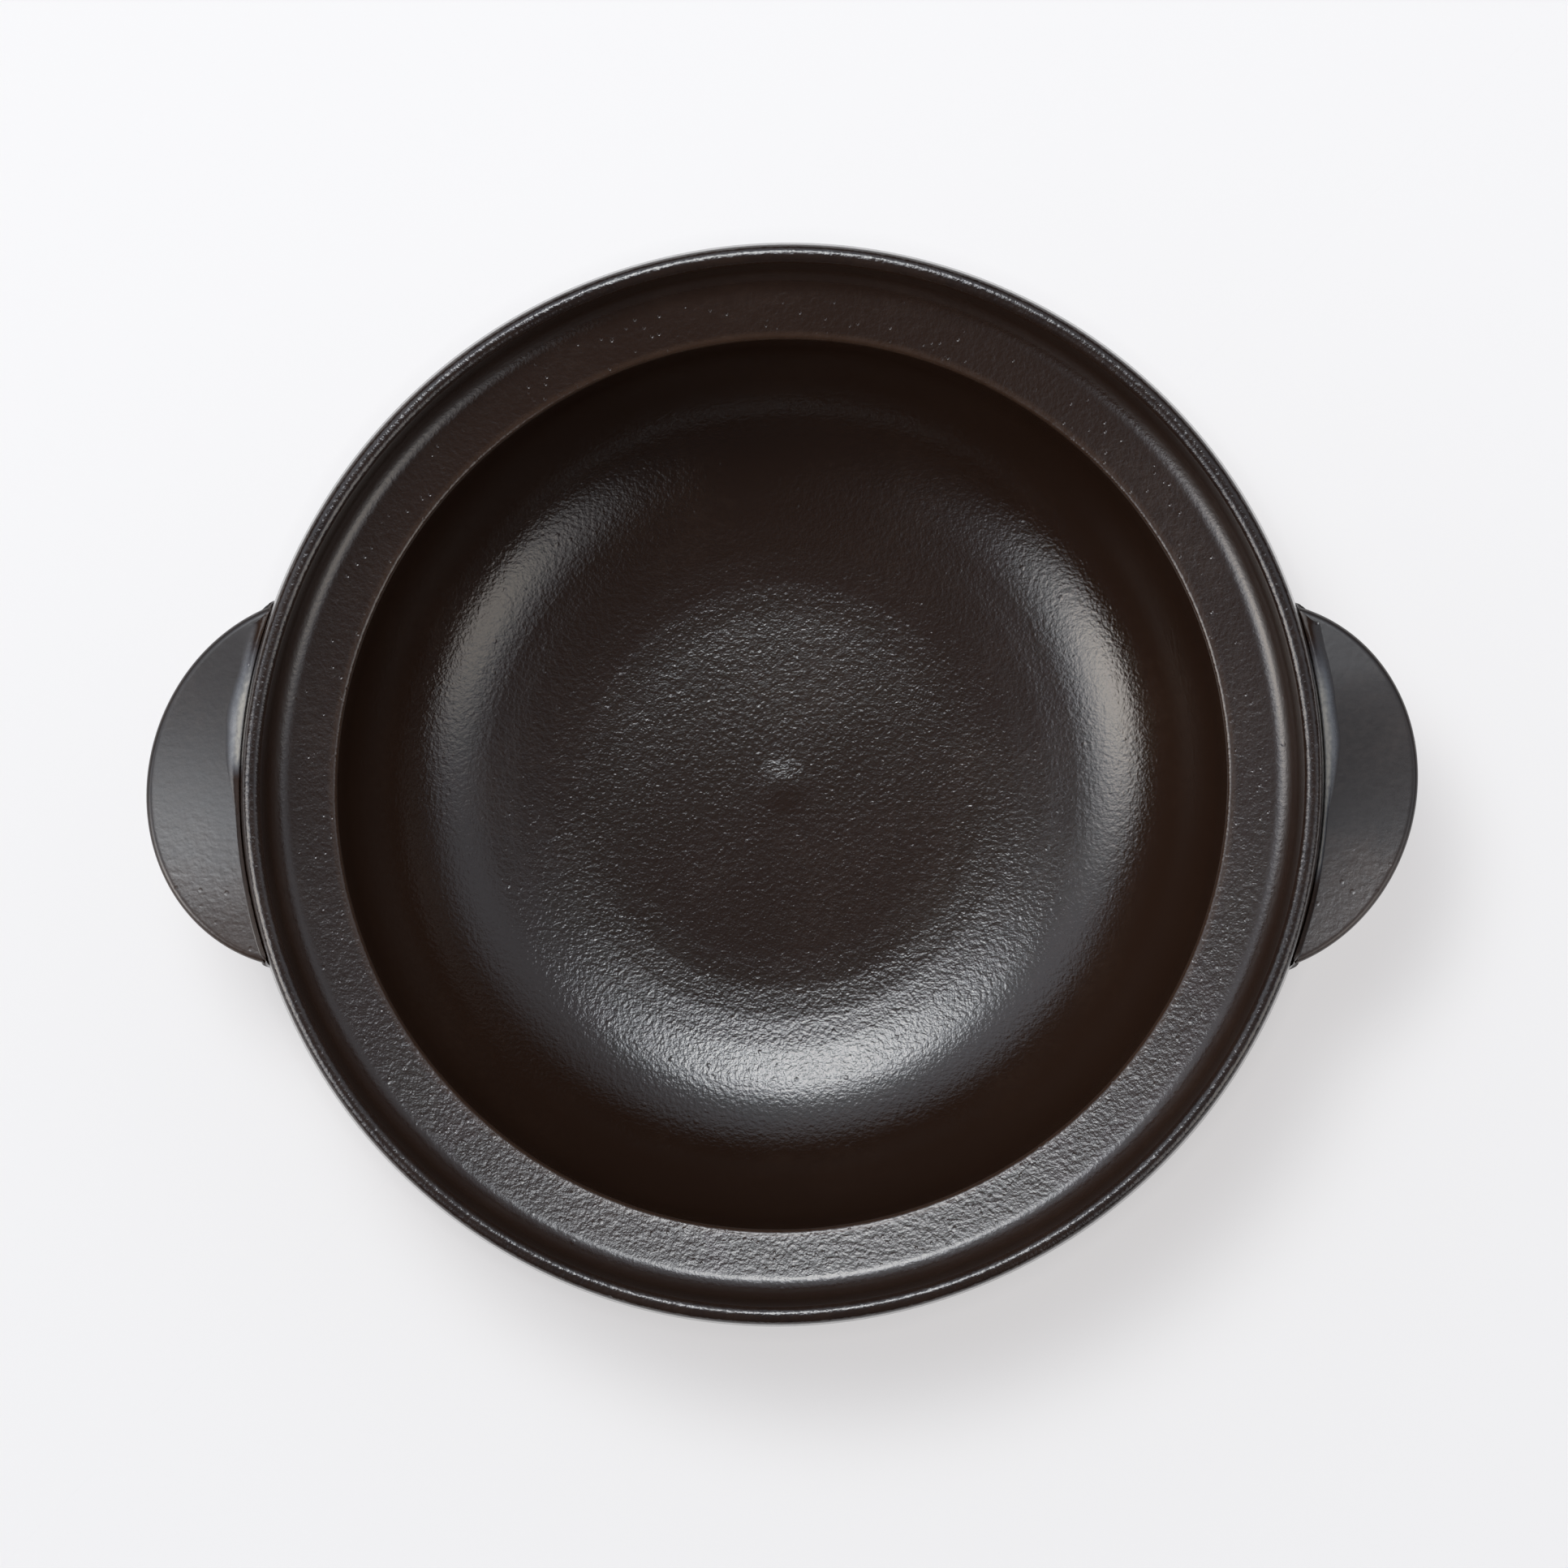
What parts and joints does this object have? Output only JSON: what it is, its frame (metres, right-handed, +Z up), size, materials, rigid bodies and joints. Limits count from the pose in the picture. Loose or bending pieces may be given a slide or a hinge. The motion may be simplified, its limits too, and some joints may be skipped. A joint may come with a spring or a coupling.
{
  "type": "clay pot",
  "caption": "Open round donabe clay pot with a lid ledge inside its rim, a rounded bowl, a low foot ring and ear handles luted on with slip.",
  "frame": {"origin": "on the table plane, under the middle of the pot", "axes": "+Z up along the pot's axis, +X towards the right ear handle, +Y away from the front"},
  "size_m": [0.309, 0.2632, 0.1],
  "materials": {
    "dark_glaze": "satin brown-black glaze over clay"
  },
  "bodies": {
    "root": {"pot_body": "dark_glaze", "left_handle": "dark_glaze", "right_handle": "dark_glaze", "left_slip_seam": "dark_glaze", "right_slip_seam": "dark_glaze"}
  },
  "joints": []
}
